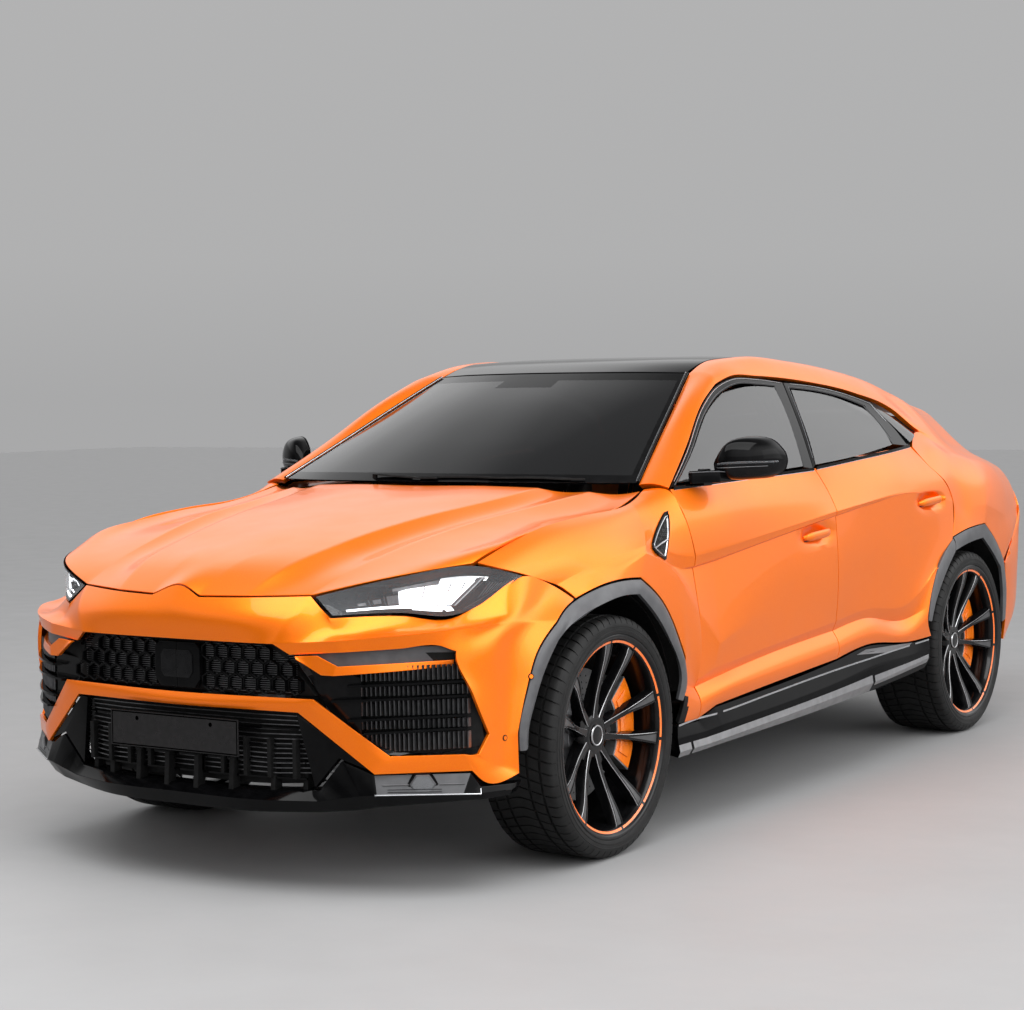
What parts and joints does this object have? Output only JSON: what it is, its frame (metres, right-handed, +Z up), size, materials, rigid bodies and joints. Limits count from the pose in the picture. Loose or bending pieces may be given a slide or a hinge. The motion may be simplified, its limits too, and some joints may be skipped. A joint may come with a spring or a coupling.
{
  "type": "suv",
  "caption": "Five-door sport utility vehicle with a sloping roof, angular wheel arches, opening hood, doors and tailgate, steering front wheels and four turning wheels.",
  "frame": {"origin": "middle of the bounding box's base, on the ground under the middle of the vehicle", "axes": "+Z up, -Y towards the front, +X to the vehicle's left"},
  "size_m": [2.242, 5.1157, 1.635],
  "materials": {
    "paint": "gloss clear coat over fine pearl",
    "gloss_black": "gloss",
    "dark_glass": "tinted",
    "trim": "satin",
    "lamp": "clear",
    "red_lamp": "gloss",
    "cast": "cast",
    "under": "matt undercoat",
    "hide": "fine grain",
    "dash": "grained",
    "tips": "dark polished",
    "plate": "satin blank",
    "wheel_black": "gloss",
    "tyre": "matt rubber"
  },
  "bodies": {
    "body": {"body_sides": "paint", "roof_panel": "gloss_black", "windshield": "dark_glass", "front_fenders": "paint", "front_bumper": "paint", "rear_bumper": "paint", "front_arch_trims": "trim", "rear_arch_trims": "trim", "headlights": "lamp", "taillights": "red_lamp", "front_grilles": "gloss_black", "front_splitter": "gloss_black", "side_skirts": "gloss_black", "rear_diffuser": "gloss_black", "quarter_lights": "dark_glass", "front_axle": "cast", "rear_axle": "cast", "floor_pan": "under", "cowl": "trim", "sills_and_pillars": "gloss_black", "engine_block": "cast", "wheel_liners": "trim", "front_seats": "hide", "rear_seat": "hide", "dashboard": "dash", "steering_wheel": "hide", "exhaust_tips": "tips", "number_plates": "plate"},
    "hood": {"hood": "paint"},
    "tailgate": {"tailgate": "paint", "rear_window": "dark_glass"},
    "front_door_left": {"front_door_left": "paint", "front_door_glass_left": "dark_glass", "mirror_left": "gloss_black"},
    "rear_door_left": {"rear_door_left": "paint", "rear_door_glass_left": "dark_glass"},
    "steer_left": {"knuckle_front_left": "cast"},
    "wheel_front_left": {"rim_front_left": "wheel_black", "tyre_front_left": "tyre"},
    "wheel_rear_left": {"rim_rear_left": "wheel_black", "tyre_rear_left": "tyre"},
    "front_door_right": {"front_door_right": "paint", "front_door_glass_right": "dark_glass", "mirror_right": "gloss_black"},
    "rear_door_right": {"rear_door_right": "paint", "rear_door_glass_right": "dark_glass"},
    "steer_right": {"knuckle_front_right": "cast"},
    "wheel_front_right": {"rim_front_right": "wheel_black", "tyre_front_right": "tyre"},
    "wheel_rear_right": {"rim_rear_right": "wheel_black", "tyre_rear_right": "tyre"}
  },
  "joints": [
    {"name": "steering_left", "type": "hinge", "parent": "body", "child": "steer_left", "pos_m": [0.775, -1.551, 0.392], "axis": [0, 0, 1], "range_deg": [-30, 30]},
    {"name": "front_wheel_spin_left", "type": "hinge", "parent": "steer_left", "child": "wheel_front_left", "pos_m": [0.848, -1.551, 0.392], "axis": [1, 0, 0], "continuous": true},
    {"name": "rear_wheel_spin_left", "type": "hinge", "parent": "body", "child": "wheel_rear_left", "pos_m": [0.838, 1.452, 0.392], "axis": [1, 0, 0], "continuous": true},
    {"name": "front_door_hinge_left", "type": "hinge", "parent": "body", "child": "front_door_left", "pos_m": [0.955, -1.016, 0.75], "axis": [0, 0, -1], "range_deg": [0, 65]},
    {"name": "rear_door_hinge_left", "type": "hinge", "parent": "body", "child": "rear_door_left", "pos_m": [0.935, 0.109, 0.75], "axis": [0, 0, -1], "range_deg": [0, 68]},
    {"name": "steering_right", "type": "hinge", "parent": "body", "child": "steer_right", "pos_m": [-0.775, -1.551, 0.392], "axis": [0, 0, 1], "range_deg": [-30, 30]},
    {"name": "front_wheel_spin_right", "type": "hinge", "parent": "steer_right", "child": "wheel_front_right", "pos_m": [-0.848, -1.551, 0.392], "axis": [1, 0, 0], "continuous": true},
    {"name": "rear_wheel_spin_right", "type": "hinge", "parent": "body", "child": "wheel_rear_right", "pos_m": [-0.838, 1.452, 0.392], "axis": [1, 0, 0], "continuous": true},
    {"name": "front_door_hinge_right", "type": "hinge", "parent": "body", "child": "front_door_right", "pos_m": [-0.955, -1.016, 0.75], "axis": [0, 0, 1], "range_deg": [0, 65]},
    {"name": "rear_door_hinge_right", "type": "hinge", "parent": "body", "child": "rear_door_right", "pos_m": [-0.935, 0.109, 0.75], "axis": [0, 0, 1], "range_deg": [0, 68]},
    {"name": "hood_hinge", "type": "hinge", "parent": "body", "child": "hood", "pos_m": [0, -1.04, 1.168], "axis": [-1, 0, 0], "range_deg": [0, 52]},
    {"name": "tailgate_hinge", "type": "hinge", "parent": "body", "child": "tailgate", "pos_m": [0, 1.512, 1.508], "axis": [1, 0, 0], "range_deg": [0, 70]}
  ],
  "couplings": [
    {"joint": "steering_right", "follows": "steering_left", "ratio": 1}
  ]
}
